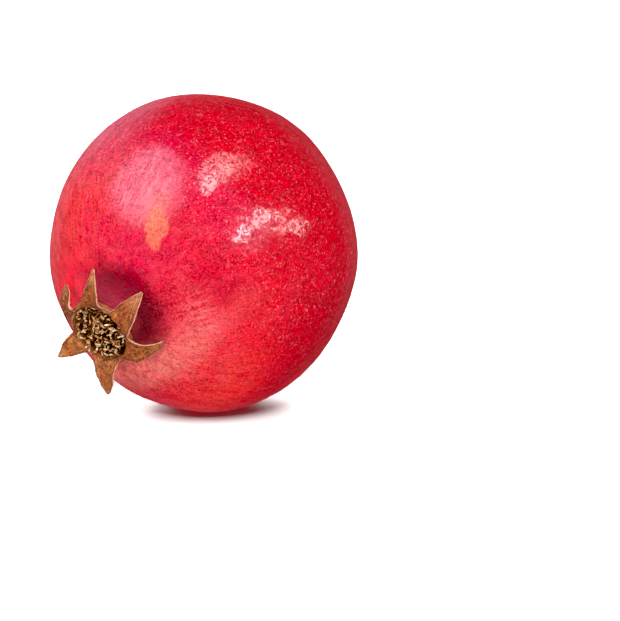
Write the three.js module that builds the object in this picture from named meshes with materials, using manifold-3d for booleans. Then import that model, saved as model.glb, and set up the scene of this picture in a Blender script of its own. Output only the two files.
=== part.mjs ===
// A whole pomegranate lying on its side: the rind with its short neck, the woody
// crown of six curled sepals, the tuft of dried stamens inside the crown, and the
// clipped stem at the far pole. Millimetres, +Z up. The origin is the middle of
// the small flat spot that the fruit rests on. The crown points along -Y and dips
// below the horizontal.
//
// Two frames are used. In the fruit's frame +Z is the axis from the fruit's centre
// to the crown. In the crown's frame +Z is the crown's own axis, which leans a
// little from the fruit's, and the origin is the middle of the crown's rim.

import * as THREE from "three";
import { mergeVertices } from "three/addons/utils/BufferGeometryUtils.js";
import Module from "manifold-3d";

const wasm = await Module();
wasm.setup();

const GAP = 0.3; // between pieces of the fruit that touch

// The globe: its radius across the axis and along it, and how far its section is
// squarer than an ellipse.
const EQUATOR_RADIUS = 43.6;
const POLE_RADIUS = 41.3;
const SQUARENESS = 2.12;

// The globe isn't round across its axis: it swells and sinks a little, twice and
// six times in a turn.
const LOBES = [
  { count: 2, cosine: -1.02, sine: 0.31 },
  { count: 6, cosine: 0.33, sine: -0.22 },
];

// The hollow round the stem.
const STEM_DIP = { depth: 3.0, width: radians(18) };

// The neck that rises from the globe to the crown.
const NECK = { start: radians(21), radius: 9.7, top: 44.0 };

// The crown: how far its rim is from the fruit's centre, and its lean towards the
// fruit's X and Y axes.
const CROWN_HEIGHT = 46.0;
const CROWN_LEAN = { x: 0.058, y: -0.075 };
const CUP = { innerRadius: 8.05, outerRadius: 9.6, depth: 2.2, height: 3.4 };

// The six sepals, round the rim. All angles are in degrees. lean is the angle from
// the crown's axis at the root and at the tip (past 90 the sepal curls back over
// the rind), sway turns it sideways, and twist turns the blade about its midrib.
// cup bends the blade's edges up, and taper is 1 for straight edges and more for
// bulging ones.
const SEPALS = [
  {
    azimuth: 23, length: 12.6, width: 8.4, cup: 0.11, taper: 1.47,
    lean: [88, 130], sway: [31, 22], twist: [-26, -3],
  },
  {
    azimuth: 88, length: 11.8, width: 8, cup: 0.27, taper: 0.74,
    lean: [90, 103], sway: [-20, -14], twist: [-12, -1],
  },
  {
    azimuth: 157, length: 11.2, width: 6.4, cup: 0.17, taper: 1.7,
    lean: [119, 149], sway: [-23, -15], twist: [-34, 55],
  },
  {
    azimuth: 205, length: 11, width: 7.2, cup: 0.1, taper: 1.2,
    lean: [80, 92], sway: [3, 12], twist: [-31, 35],
  },
  {
    azimuth: 267, length: 11.4, width: 8.9, cup: 0.29, taper: 1.34,
    lean: [56, 110], sway: [8, -31], twist: [16, 5],
  },
  {
    azimuth: 334, length: 10.7, width: 8.8, cup: 0.12, taper: 0.9,
    lean: [84, 156], sway: [13, 46], twist: [-15, 30],
  },
];
const SEPAL_ROOT_RADIUS = 8.7;
const SEPAL_THICKNESS = { root: 1.3, tip: 0.7 };
const SEPAL_TIP_WIDTH = 0.7;
const SEPAL_ROOT_SHARE = 0.3; // the part of a sepal that still follows the rim

// The stamens.
const STAMENS = { count: 42, reach: 6.9, radius: 0.4, antherRadius: 0.85, height: 2.1 };

// The clipped stem.
const STEM = { radius: 2.4, length: 5.5 };

// How the fruit lies.
const CROWN_DIP = radians(17.6);
const FLAT_DEPTH = 0.7;

const RIND_STEPS = { around: 60, along: 26, neck: 5 };

function radians(angle) {
  return (angle * Math.PI) / 180;
}

function mix(pair, share) {
  return pair[0] + (pair[1] - pair[0]) * share;
}

// --- solids -----------------------------------------------------------------

// The three.js geometry as one closed solid. Corners that coincide are merged, and
// a triangle that this leaves with two corners, as at a pole, is dropped.
function toSolid(geometry) {
  const bare = new THREE.BufferGeometry();
  bare.setAttribute("position", geometry.getAttribute("position"));
  bare.setIndex(geometry.getIndex());
  const merged = mergeVertices(bare, 1e-4);
  const corners = merged.getIndex().array;
  const kept = [];
  for (let i = 0; i < corners.length; i += 3) {
    const [a, b, c] = [corners[i], corners[i + 1], corners[i + 2]];
    if (a !== b && b !== c && c !== a) kept.push(a, b, c);
  }
  return new wasm.Manifold(
    new wasm.Mesh({
      numProp: 3,
      vertProperties: merged.getAttribute("position").array,
      triVerts: new Uint32Array(kept),
    }),
  );
}

function toGeometry(solid) {
  const mesh = solid.getMesh();
  const geometry = new THREE.BufferGeometry();
  geometry.setAttribute("position", new THREE.BufferAttribute(mesh.vertProperties, 3));
  geometry.setIndex(new THREE.BufferAttribute(mesh.triVerts, 1));
  return geometry;
}

// Joins closed bodies into one. Only its outer skin is kept, so a hollow that the
// joining seals is filled and a loose scrap is dropped.
function fuse(geometries) {
  const whole = geometries.map(toSolid).reduce((sum, piece) => sum.add(piece));
  return whole.decompose().reduce((most, shell) => (shell.volume() > most.volume() ? shell : most));
}

// A body turned about +Z from a list of [radius, height] points.
function turned(points, steps) {
  const profile = points.map(([radius, height]) => new THREE.Vector2(radius, height));
  return new THREE.LatheGeometry(profile, steps).rotateX(Math.PI / 2);
}

// --- frames -----------------------------------------------------------------

// From the crown's frame to the fruit's.
function crownMatrix() {
  const axis = new THREE.Vector3(CROWN_LEAN.x, CROWN_LEAN.y, 1).normalize();
  const side = new THREE.Vector3(1, 0, 0).addScaledVector(axis, -axis.x).normalize();
  const across = new THREE.Vector3().crossVectors(axis, side);
  return new THREE.Matrix4()
    .makeBasis(side, across, axis)
    .setPosition(0, 0, CROWN_HEIGHT);
}

// From the fruit's frame to one where it lies on its side, about its own centre.
function lyingMatrix() {
  return new THREE.Matrix4().makeRotationX(Math.PI / 2 + CROWN_DIP);
}

// --- rind -------------------------------------------------------------------

// The distance from the centre to the turned globe, at an angle from the crown.
function globeRadius(angle) {
  const across = (Math.abs(Math.sin(angle)) / EQUATOR_RADIUS) ** SQUARENESS;
  const along = (Math.abs(Math.cos(angle)) / POLE_RADIUS) ** SQUARENESS;
  const fromStem = (Math.PI - angle) / STEM_DIP.width;
  return (across + along) ** (-1 / SQUARENESS) - STEM_DIP.depth * Math.exp(-(fromStem ** 2));
}

function globePoint(angle) {
  const radius = globeRadius(angle);
  return new THREE.Vector2(radius * Math.sin(angle), radius * Math.cos(angle));
}

// The neck's section, a curve that leaves the globe smoothly and ends upright.
function neckCurve() {
  const start = globePoint(NECK.start);
  const along = start.clone().sub(globePoint(NECK.start + 0.02)).normalize();
  return new THREE.CubicBezierCurve(
    start,
    start.clone().addScaledVector(along, 3),
    new THREE.Vector2(NECK.radius, NECK.top - 3),
    new THREE.Vector2(NECK.radius, NECK.top),
  );
}

function rindProfile() {
  const profile = [];
  for (let i = 0; i <= RIND_STEPS.along; i += 1) {
    const angle = mix([Math.PI, NECK.start], i / RIND_STEPS.along);
    const point = globePoint(angle);
    profile.push([i === 0 ? 0 : point.x, point.y]);
  }
  const neck = neckCurve().getPoints(RIND_STEPS.neck).slice(1);
  neck.forEach((point) => profile.push([point.x, point.y]));
  profile.push([0, NECK.top]);
  return profile;
}

// Moves each point of the turned rind out or in by the lobes, which fade out
// towards both poles.
function swell(geometry) {
  const positions = geometry.getAttribute("position");
  const point = new THREE.Vector3();
  for (let i = 0; i < positions.count; i += 1) {
    point.fromBufferAttribute(positions, i);
    const fade = (point.x ** 2 + point.y ** 2) / point.lengthSq();
    const around = Math.atan2(point.y, point.x);
    const rise = LOBES.reduce(
      (sum, { count, cosine, sine }) =>
        sum + cosine * Math.cos(count * around) + sine * Math.sin(count * around),
      0,
    );
    point.setLength(point.length() + fade * rise);
    positions.setXYZ(i, point.x, point.y, point.z);
  }
  return geometry;
}

// Cuts the neck off where the crown sits on it.
function cutSeat(solid) {
  const size = 40;
  const seat = -CUP.height - GAP;
  const above = new THREE.BoxGeometry(size, size, size)
    .translate(0, 0, seat + size / 2)
    .applyMatrix4(crownMatrix());
  return solid.subtract(toSolid(above));
}

// Lays the rind on its side and cuts the flat spot it rests on, then moves the
// middle of that spot to the origin. Also gives the fruit centre's new place.
function layDown(solid) {
  const lying = toGeometry(solid).applyMatrix4(lyingMatrix());
  lying.computeBoundingBox();
  const lift = -lying.boundingBox.min.z - FLAT_DEPTH;
  lying.translate(0, 0, lift);
  const size = 100;
  const below = new THREE.BoxGeometry(size, size, size).translate(0, 0, -size / 2);
  const rested = toGeometry(toSolid(lying).subtract(toSolid(below)));
  const spot = spotMiddle(rested);
  rested.translate(-spot.x, -spot.y, 0);
  return { rind: rested, centre: new THREE.Vector3(-spot.x, -spot.y, lift) };
}

function spotMiddle(geometry) {
  const positions = geometry.getAttribute("position");
  const spot = new THREE.Box3();
  const point = new THREE.Vector3();
  for (let i = 0; i < positions.count; i += 1) {
    point.fromBufferAttribute(positions, i);
    if (Math.abs(point.z) < 1e-3) spot.expandByPoint(point);
  }
  return spot.getCenter(new THREE.Vector3());
}

// --- crown ------------------------------------------------------------------

// The crown's shallow cup, with a rounded rim.
function cupGeometry() {
  const { innerRadius, outerRadius, depth, height } = CUP;
  const lip = (outerRadius - innerRadius) / 2;
  const path = new THREE.Path();
  path.moveTo(0, -height);
  path.lineTo(outerRadius - 0.5, -height);
  path.quadraticCurveTo(outerRadius, -height, outerRadius, -height + 1);
  path.lineTo(outerRadius, -lip + 0.2);
  path.absarc(innerRadius + lip, -lip + 0.2, lip, 0, Math.PI, false);
  path.lineTo(innerRadius, -depth);
  path.lineTo(0, -depth);
  const points = path.getPoints(4).map((point) => [point.x, point.y]);
  return turned(points, 48);
}

// The sepal's midrib: a list of stations, each with its place, its direction and
// the blade's side and face directions there.
function midrib(sepal, steps) {
  const azimuth = radians(sepal.azimuth);
  const up = new THREE.Vector3(0, 0, 1);
  const outward = new THREE.Vector3(Math.cos(azimuth), Math.sin(azimuth), 0);
  const around = new THREE.Vector3().crossVectors(up, outward);
  const place = outward.clone().multiplyScalar(SEPAL_ROOT_RADIUS);
  const stations = [];
  for (let i = 0; i <= steps; i += 1) {
    const share = i / steps;
    const lean = radians(mix(sepal.lean, share));
    const sway = radians(mix(sepal.sway, share));
    const level = outward.clone().multiplyScalar(Math.cos(sway));
    level.addScaledVector(around, Math.sin(sway));
    const along = up.clone().multiplyScalar(Math.cos(lean));
    along.addScaledVector(level, Math.sin(lean));
    const side = new THREE.Vector3().crossVectors(up, level);
    side.applyAxisAngle(along, radians(mix(sepal.twist, share)));
    const face = new THREE.Vector3().crossVectors(along, side);
    stations.push({ share, place: place.clone(), side, face, azimuth });
    place.addScaledVector(along, sepal.length / steps);
  }
  return stations;
}

// A point of the sepal's blade. across runs from -1 to 1 over its width and
// through from -1, its back, to 1, its face.
function bladePoint(sepal, station, across, through) {
  const { share, place, side, face, azimuth } = station;
  const halfWidth =
    (sepal.width / 2) * (1 - share ** sepal.taper) + (SEPAL_TIP_WIDTH / 2) * share;
  const thickness = mix([SEPAL_THICKNESS.root, SEPAL_THICKNESS.tip], share);
  const free = place.clone();
  free.addScaledVector(side, across * halfWidth);
  free.addScaledVector(face, sepal.cup * halfWidth * across ** 2);

  const turn = azimuth + (across * halfWidth) / SEPAL_ROOT_RADIUS;
  const onRim = new THREE.Vector3(
    SEPAL_ROOT_RADIUS * (Math.cos(turn) - Math.cos(azimuth)),
    SEPAL_ROOT_RADIUS * (Math.sin(turn) - Math.sin(azimuth)),
    0,
  ).add(place);

  const point = onRim.lerp(free, THREE.MathUtils.smoothstep(share, 0, SEPAL_ROOT_SHARE));
  return point.addScaledVector(face, (through * thickness) / 2);
}

// The sepal as one closed blade: its face, its back, its two edges and its ends.
function sepalGeometry(sepal) {
  const rows = 10;
  const columns = 6;
  const loop = 2 * (columns + 1);
  const corners = [];
  midrib(sepal, rows).forEach((station) => {
    for (let j = 0; j < loop; j += 1) {
      const onFace = j <= columns;
      const column = onFace ? j : loop - 1 - j;
      const point = bladePoint(sepal, station, (2 * column) / columns - 1, onFace ? 1 : -1);
      corners.push(point.x, point.y, point.z);
    }
  });

  const triangles = [];
  const quad = (a, b, c, d) => triangles.push(a, c, b, a, d, c);
  for (let i = 0; i < rows; i += 1) {
    for (let j = 0; j < loop; j += 1) {
      const next = (j + 1) % loop;
      quad(i * loop + j, i * loop + next, (i + 1) * loop + next, (i + 1) * loop + j);
    }
  }
  const last = rows * loop;
  for (let j = 0; j < columns; j += 1) {
    quad(loop - 1 - j, loop - 2 - j, j + 1, j);
    quad(last + j, last + j + 1, last + loop - 2 - j, last + loop - 1 - j);
  }

  const geometry = new THREE.BufferGeometry();
  geometry.setAttribute("position", new THREE.Float32BufferAttribute(corners, 3));
  geometry.setIndex(triangles);
  return geometry;
}

// --- stamens ----------------------------------------------------------------

// A repeatable draw of numbers from 0 to 1.
function seededDraw(seed) {
  let state = seed;
  return () => {
    state = (state * 1664525 + 1013904223) % 2 ** 32;
    return state / 2 ** 32;
  };
}

// The bed that the stamens grow from, which fills the bottom of the cup.
function stamenBed() {
  const radius = CUP.innerRadius - GAP - 0.1;
  const bottom = -CUP.depth + GAP;
  const edge = bottom + 0.7;
  return turned([[0, bottom], [radius, bottom], [radius, edge], [0, edge + 0.3]], 32);
}

// One stamen: a filament that rises from the bed, bends over, and ends in a
// flattened anther.
function stamenGeometries(root, bend, height) {
  const tip = root.clone().add(bend);
  tip.z = root.z + height;
  const limit = STAMENS.reach;
  const flat = Math.hypot(tip.x, tip.y);
  if (flat > limit) {
    tip.x *= limit / flat;
    tip.y *= limit / flat;
  }
  const middle = new THREE.Vector3(root.x, root.y, root.z + height * 0.8);
  const path = new THREE.QuadraticBezierCurve3(root, middle, tip);
  const section = new THREE.Shape();
  section.absarc(0, 0, STAMENS.radius, 0, 2 * Math.PI, false);
  const filament = new THREE.ExtrudeGeometry(section, {
    steps: 2,
    curveSegments: 3,
    bevelEnabled: false,
    extrudePath: path,
  });
  const anther = new THREE.SphereGeometry(STAMENS.antherRadius, 5, 3)
    .scale(1, 0.75, 0.75)
    .rotateZ(Math.atan2(bend.y, bend.x))
    .translate(tip.x, tip.y, tip.z);
  return [filament, anther];
}

// The whole tuft. The roots follow a spiral like the seeds of a sunflower, so that
// they cover the bed evenly, and each stamen bends its own way.
function tuftSolid() {
  const draw = seededDraw(7);
  const goldenAngle = Math.PI * (3 - Math.sqrt(5));
  const pieces = [stamenBed()];
  for (let i = 0; i < STAMENS.count; i += 1) {
    const radius = STAMENS.reach * Math.sqrt((i + 0.5) / STAMENS.count);
    const angle = i * goldenAngle;
    const root = new THREE.Vector3(
      radius * Math.cos(angle),
      radius * Math.sin(angle),
      -CUP.depth + GAP + 0.35,
    );
    const turn = draw() * 2 * Math.PI;
    const bend = new THREE.Vector3(Math.cos(turn), Math.sin(turn), 0);
    bend.multiplyScalar(0.6 + 1.2 * draw());
    pieces.push(...stamenGeometries(root, bend, STAMENS.height * (0.8 + 0.5 * draw())));
  }
  return fuse(pieces);
}

// --- stem -------------------------------------------------------------------

// A short clipped stem that stands in the hollow at the far pole, a little wider
// at its foot and at its cut end.
function stemGeometry() {
  const { radius, length } = STEM;
  const foot = -globeRadius(Math.PI) - GAP - 0.1;
  return turned(
    [
      [0, foot - length],
      [radius * 0.95, foot - length],
      [radius * 1.08, foot - length + 0.5],
      [radius * 0.9, foot - length * 0.5],
      [radius, foot],
      [0, foot],
    ],
    20,
  );
}

// --- the fruit --------------------------------------------------------------

function named(name, geometry, color, roughness) {
  const material = new THREE.MeshStandardMaterial({ color, roughness, metalness: 0 });
  const mesh = new THREE.Mesh(geometry, material);
  mesh.name = name;
  return mesh;
}

const globe = swell(turned(rindProfile(), RIND_STEPS.around));
const { rind, centre } = layDown(cutSeat(toSolid(globe)));

const crown = new THREE.Group();
crown.applyMatrix4(crownMatrix());
const calyx = fuse([cupGeometry(), ...SEPALS.map(sepalGeometry)]);
crown.add(named("calyx_crown", toGeometry(calyx), 0xa8743c, 0.8));
crown.add(named("stamen_tuft", toGeometry(tuftSolid()), 0xc8ab74, 0.9));

const lying = new THREE.Group();
lying.applyMatrix4(lyingMatrix());
lying.position.copy(centre);
lying.add(crown, named("stem_stub", stemGeometry(), 0x7b5c3e, 0.9));

const pomegranate = new THREE.Group();
pomegranate.add(named("fruit_body", rind, 0xcc2238, 0.35), lying);

export default pomegranate;
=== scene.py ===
"""The looks of a whole pomegranate that lies on its side.

Shapes are worked out in millimetres in two frames and put into the part's frame, in
metres, when a mesh is made. In the fruit's frame +Z runs from the fruit's centre to
its crown. In the crown's frame +Z is the crown's own axis, which leans a little from
the fruit's, and the origin is the middle of the crown's rim.
"""

import functools
import math
import random

import bpy
import numpy as np
from mathutils import Matrix, Vector, kdtree, noise


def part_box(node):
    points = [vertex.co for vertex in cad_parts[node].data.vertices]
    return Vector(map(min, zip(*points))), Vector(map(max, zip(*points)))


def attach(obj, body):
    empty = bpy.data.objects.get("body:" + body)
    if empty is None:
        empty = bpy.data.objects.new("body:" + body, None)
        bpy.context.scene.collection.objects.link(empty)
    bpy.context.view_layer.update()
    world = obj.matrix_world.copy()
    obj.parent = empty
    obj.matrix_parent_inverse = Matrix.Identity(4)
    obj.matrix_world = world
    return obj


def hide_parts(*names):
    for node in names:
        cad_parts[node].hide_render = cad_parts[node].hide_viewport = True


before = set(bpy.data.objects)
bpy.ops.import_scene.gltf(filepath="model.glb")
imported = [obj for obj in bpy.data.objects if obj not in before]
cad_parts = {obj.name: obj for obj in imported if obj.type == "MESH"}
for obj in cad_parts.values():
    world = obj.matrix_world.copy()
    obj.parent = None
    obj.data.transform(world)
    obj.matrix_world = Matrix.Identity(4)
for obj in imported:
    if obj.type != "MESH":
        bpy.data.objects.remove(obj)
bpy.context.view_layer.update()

MM = 0.001
UP = np.array([0.0, 0.0, 1.0])

# The globe: its radius across the axis and along it, how far its section is squarer
# than an ellipse, and how it swells round its axis (times in a turn, cosine, sine).
EQUATOR_RADIUS = 43.6
POLE_RADIUS = 41.3
SQUARENESS = 2.12
LOBES = [(2, -1.02, 0.31), (6, 0.33, -0.22)]
STEM_DIP_DEPTH = 3.0
STEM_DIP_WIDTH = math.radians(18)

# The neck starts at this angle from the axis. It runs on along the globe by NECK_FLARE,
# turns up along the crown's axis for NECK_RISE, and ends on the crown's wall in a collar
# that tucks in, as radius and height in the crown's frame.
NECK_START = math.radians(21)
NECK_RADIUS = 9.75
NECK_FLARE, NECK_RISE = 3.0, 2.6
COLLAR = [(9.85, -2.9), (9.95, -2.3), (9.85, -1.85), (9.55, -1.6), (9.2, -1.7), (8.8, -2.7)]
RIND_COLUMNS, GLOBE_ROWS, NECK_ROWS = 348, 236, 22
# How gradually the flat spot on the floor begins.
FLOOR_SOFTNESS = 0.2

# The crown, and how it leans towards the fruit's X and Y.
CROWN_HEIGHT = 46.0
CROWN_LEAN = (0.058, -0.075)
CROWN_DIP = math.radians(17.6)
CUP_INNER, CUP_OUTER, CUP_DEPTH, CUP_HEIGHT = 8.05, 9.6, 2.2, 3.4

# The six sepals, round the rim. Angles are in degrees: lean is from the crown's axis at
# the root and at the tip, sway turns the sepal sideways, and twist turns its blade about
# its midrib. cup bends the blade's edges up, and taper is 1 for straight edges and more
# for bulging ones. tint is how golden, how red and how dark it is, and pale is how much
# its tip has dried out.
SEPALS = [
    dict(azimuth=23, pale=0.5, length=12.6, width=8.4, cup=0.11, taper=1.47,
         lean=(88, 130), sway=(31, 22), twist=(-26, -3), tint=(0.25, 0.8, 0.1)),
    dict(azimuth=88, pale=0.85, length=11.8, width=8.0, cup=0.27, taper=0.74,
         lean=(90, 103), sway=(-20, -14), twist=(-12, -1), tint=(0.5, 0.2, 0.25)),
    dict(azimuth=157, pale=0.1, length=11.2, width=6.4, cup=0.17, taper=1.7,
         lean=(119, 149), sway=(-23, -15), twist=(-34, 55), tint=(0.1, 0.4, 0.75)),
    dict(azimuth=205, pale=0.7, length=11.0, width=7.2, cup=0.1, taper=1.2,
         lean=(80, 92), sway=(3, 12), twist=(-31, 35), tint=(1.0, 0.2, 0.0)),
    dict(azimuth=267, pale=0.15, length=11.4, width=8.9, cup=0.29, taper=1.34,
         lean=(56, 110), sway=(8, -31), twist=(16, 5), tint=(0.7, 0.4, 0.25)),
    dict(azimuth=334, pale=0.15, length=10.7, width=8.8, cup=0.12, taper=0.9,
         lean=(84, 156), sway=(13, 46), twist=(-15, 30), tint=(0.5, 0.3, 0.25)),
]
SEPAL_ROOT_RADIUS = 8.7
SEPAL_THICKNESS = (1.0, 0.5)
SEPAL_TIP_WIDTH = 0.7
SEPAL_ROOT_SHARE = 0.3
SEPAL_ROWS, SEPAL_COLUMNS = 72, 30
CUP_COLUMNS = 120
CALYX_VOXEL = 0.2

# The stamens stand on a bed in the cup, fewer and shorter round a hollow beside its
# middle. ANTHER_ODDS is how many of them end in an anther.
STAMEN_COUNT = 430
TUFT_RADIUS = 7.55
TUFT_BED = -CUP_DEPTH + 0.3
TUFT_HOLLOW = (1.6, -0.6)
TUFT_TOPS = (1.3, 0.8)
ANTHER_ODDS = 0.8

STEM_RADIUS, STEM_LENGTH = 2.4, 5.5
STEM_GAP = 0.4
STEM_COLUMNS, STEM_ROWS = 64, 40

# Where the camera stands: its angles round the fruit, its distance from the fruit's
# centre, and where that centre shows in the 620 by 621 picture.
PICTURE = (620, 621)
CAMERA_AZIMUTH = math.radians(35.6)
CAMERA_ELEVATION = math.radians(14)
CAMERA_DISTANCE = 0.484
CAMERA_LENS = 100.0
CAMERA_SENSOR = 36.0
CENTRE_IN_PICTURE = (204.1, 253.4)

# The studio's lights. Each row is a panel's name and kind, where it stands, how its first
# side runs, its size in metres, how bright its face is and, if it isn't white, its colour.
# Both directions are the camera's right, up and back. A glint is oval and is only seen
# mirrored in the gloss, and a fill is never mirrored. The floor's panels light the floor
# alone, and are FLOOR_LIGHT_TIMES as far away and as big as their rows say.
LIGHT_DISTANCE = 8.0
FLOOR_LIGHT_TIMES = 3
SOFTBOXES = [
    ("window", "fill", (-0.56, 0.57, 0.60), (0.7, 0, 0.7), (10.7, 10.2), 1.5),
    ("softbox", "fill", (0.20, 0.80, 0.56), (1, 0, 0), (3.9, 4.2), 7.0),
    ("side", "fill", (0.80, 0.17, 0.56), (0.47, 0.34, -0.81), (9.6, 1.6), 6.8),
    ("front", "fill", (-0.32, -0.04, 0.94), (1, 0, 0), (9, 4.4), 2.8),
    ("back", "fill", (-0.50, 0.44, -0.75), (0.83, 0, -0.55), (10, 8), 2.5),
    ("haze", "glint", (-0.70, 0.60, 0.38), (0, -0.55, 0.83), (10.6, 7.4), 1.1),
    ("rim_left", "glint", (-0.42, 0.22, -0.88), (0, 1, 0.2), (9, 6.6), 0.38, (0.85, 0.9, 1.0)),
    ("rim_right", "glint", (0.45, 0.25, -0.86), (0, 1, 0.2), (9, 7), 0.16, (0.85, 0.9, 1.0)),
    ("band", "glint", (0.18, 0.80, 0.57), (0.37, 0.48, -0.79), (5.4, 4.2), 9.0),
    ("band_core", "glint", (0.11, 0.69, 0.71), (0.20, 0.69, -0.70), (3.5, 2.4), 13.0),
    ("band_tail", "glint", (0.38, 0.83, 0.41), (-0.60, -0.11, 0.79), (4.6, 3.0), 5.0),
    ("lobe_low", "glint", (0.585, 0.09, 0.806), (-0.70, -0.40, 0.58), (2.4, 1.5), 34.0),
    ("lobe_top", "glint", (0.775, 0.245, 0.583), (-0.51, -0.30, 0.81), (3.1, 1.3), 21.0),
    ("lobe_far", "glint", (0.922, 0.245, 0.30), (-0.31, 0, 0.95), (4.4, 0.9), 17.0),
    ("floor_front", "floor", (0.0, 0.50, 0.87), (1, 0, 0), (3.0, 3.0), 76.0),
    ("floor_back", "floor", (-0.30, 0.40, -0.87), (1, 0, 0), (2.8, 3.4), 280.0),
]
# The world's brightness low down and high up, and the heights between which it fades, as
# the sine of the angle above the horizon.
WORLD_LOW, WORLD_HIGH = 0.95, 0.10
WORLD_FADE = (-0.1, 0.3)
WORLD_COLOR = (1.0, 0.98, 1.0, 1.0)
FLOOR_REACH = 12.0
BLACK_LEVEL = 0.009


# --- numbers ------------------------------------------------------------------


def mix(pair, share):
    return pair[0] + (pair[1] - pair[0]) * share


def turn_once(count):
    """Angles evenly spaced round a circle."""
    return np.linspace(0, 2 * math.pi, count, endpoint=False)


def circle(radius, height, around):
    """Points at these angles round +Z, at one height or at one each."""
    return np.stack([radius * np.cos(around), radius * np.sin(around), height + 0 * around], -1)


def smoothstep(low, high, value):
    share = np.clip((value - low) / (high - low), 0, 1)
    return share * share * (3 - 2 * share)


def unit(vector):
    return np.asarray(vector, float) / np.linalg.norm(vector)


def about(axis, angle, vector):
    """vector turned about a unit axis."""
    return (
        vector * math.cos(angle)
        + np.cross(axis, vector) * math.sin(angle)
        + axis * (axis @ vector) * (1 - math.cos(angle))
    )


def fractal(points, size, octaves, seed=0.0):
    """Smooth noise from -1 to 1 at each point, with swells of about that size."""
    values = np.zeros(len(points))
    for octave in range(octaves):
        scale = 2**octave / size
        shift = Vector((seed + 17.3 * octave, -seed, 5.1 * octave))
        row = [noise.noise(Vector(p) * scale + shift) for p in points]
        values += np.array(row) / 2**octave
    return values


def linear(red, green, blue):
    """A colour given as 0 to 255 in sRGB, as the shader wants it."""
    parts = [c / 255 for c in (red, green, blue)]
    parts = [c / 12.92 if c <= 0.04045 else ((c + 0.055) / 1.055) ** 2.4 for c in parts]
    return (*parts, 1.0)


# --- frames -------------------------------------------------------------------


def crown_frame():
    axis = unit([CROWN_LEAN[0], CROWN_LEAN[1], 1])
    side = unit(np.array([1.0, 0, 0]) - axis * axis[0])
    return np.stack([side, np.cross(axis, side), axis])


def lying_frame():
    """The fruit's axes in the part's frame."""
    crown_way = np.array([0, -math.cos(CROWN_DIP), -math.sin(CROWN_DIP)])
    side = np.array([1.0, 0, 0])
    return np.stack([side, np.cross(crown_way, side), crown_way])


CROWN_AXES = crown_frame()
LYING_AXES = lying_frame()


def crown_to_fruit(points):
    return points @ CROWN_AXES + np.array([0, 0, CROWN_HEIGHT])


def fruit_to_part(points, centre):
    return points @ LYING_AXES * MM + centre


# --- meshes -------------------------------------------------------------------


def loft_faces(rows, columns, close_ends=True):
    """Quads between rings of points, each ring closed on itself. To close the ends, the
    first and the last ring each get a fan to one more point at the end of the list."""
    i, j = np.meshgrid(np.arange(rows - 1), np.arange(columns), indexing="ij")
    following = (j + 1) % columns
    quads = np.stack(
        [i * columns + j, i * columns + following,
         (i + 1) * columns + following, (i + 1) * columns + j], -1,
    ).reshape(-1, 4)
    faces = quads.tolist()
    if close_ends:
        start, first, last = (rows - 1) * columns, rows * columns, rows * columns + 1
        for j in range(columns):
            following = (j + 1) % columns
            faces.append([first, following, j])
            faces.append([last, start + j, start + following])
    return faces


def make_piece(name, points, faces, attributes=None):
    """A smooth-shaded object from points in the part's frame."""
    mesh = bpy.data.meshes.new(name)
    mesh.from_pydata(np.asarray(points).tolist(), [], faces)
    mesh.shade_smooth()
    for key, values in (attributes or {}).items():
        add_attribute(mesh, key, values)
    piece = bpy.data.objects.new(name, mesh)
    bpy.context.scene.collection.objects.link(piece)
    return piece


def add_attribute(mesh, name, values):
    values = np.asarray(values, np.float32)
    kind, key = ("FLOAT", "value") if values.ndim == 1 else ("FLOAT_VECTOR", "vector")
    mesh.attributes.new(name, kind, "POINT").data.foreach_set(key, values.ravel())


def dress(piece, material, node):
    """Gives a piece its material and body, and hides the imported node that it stands in for."""
    piece.data.materials.clear()
    piece.data.materials.append(material)
    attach(piece, "root")
    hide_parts(node)


# --- rind ---------------------------------------------------------------------


def globe_radius(angle):
    across = (np.abs(np.sin(angle)) / EQUATOR_RADIUS) ** SQUARENESS
    along = (np.abs(np.cos(angle)) / POLE_RADIUS) ** SQUARENESS
    dip = STEM_DIP_DEPTH * np.exp(-(((math.pi - angle) / STEM_DIP_WIDTH) ** 2))
    return (across + along) ** (-1 / SQUARENESS) - dip


def lobes(around):
    return sum(c * np.cos(n * around) + s * np.sin(n * around) for n, c, s in LOBES)


def globe_points(angle, around):
    radius = globe_radius(angle) + np.sin(angle) ** 2 * lobes(around)
    return circle(radius * np.sin(angle), radius * np.cos(angle), around)


def crown_ring(radius, height, around):
    return crown_to_fruit(circle(radius, height, around))


def neck_points(share, around):
    """This share of the way up a curve for each meridian, from the globe to the wall of
    the crown."""
    start = globe_points(NECK_START, around)
    along = start - globe_points(NECK_START + 0.02, around)
    along /= np.linalg.norm(along, axis=1)[:, None]
    end = crown_ring(NECK_RADIUS, -CUP_HEIGHT, around)
    corners = (start, start + along * NECK_FLARE, end - CROWN_AXES[2] * NECK_RISE, end)
    return sum(
        math.comb(3, i) * share**i * (1 - share) ** (3 - i) * corner
        for i, corner in enumerate(corners)
    )


def rind_rings():
    around = turn_once(RIND_COLUMNS)
    rings = [
        globe_points(angle, around)
        for angle in np.linspace(math.pi, NECK_START, GLOBE_ROWS + 1)[1:]
    ]
    rings += [neck_points((i + 1) / NECK_ROWS, around) for i in range(NECK_ROWS)]
    rings += [crown_ring(radius, height, around) for radius, height in COLLAR]
    return np.array(rings)


def relief(points, angle):
    """How far the skin stands out of the plain globe at each point, in mm: broad soft
    dents, smaller lumps, and faint pleats that run down from the neck."""
    calm = smoothstep(math.radians(12), math.radians(30), angle)
    around = np.arctan2(points[:, 1], points[:, 0])
    pleats = np.sin(11 * around + 2 * np.sin(2 * around)) * np.exp(-((angle / 0.42) ** 4))
    broad = fractal(points, 17.0, 1, seed=3.0)
    lumps = fractal(points, 5.5, 2, seed=8.0)
    return calm * (0.16 * broad + 0.06 * lumps) + 0.10 * pleats


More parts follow.
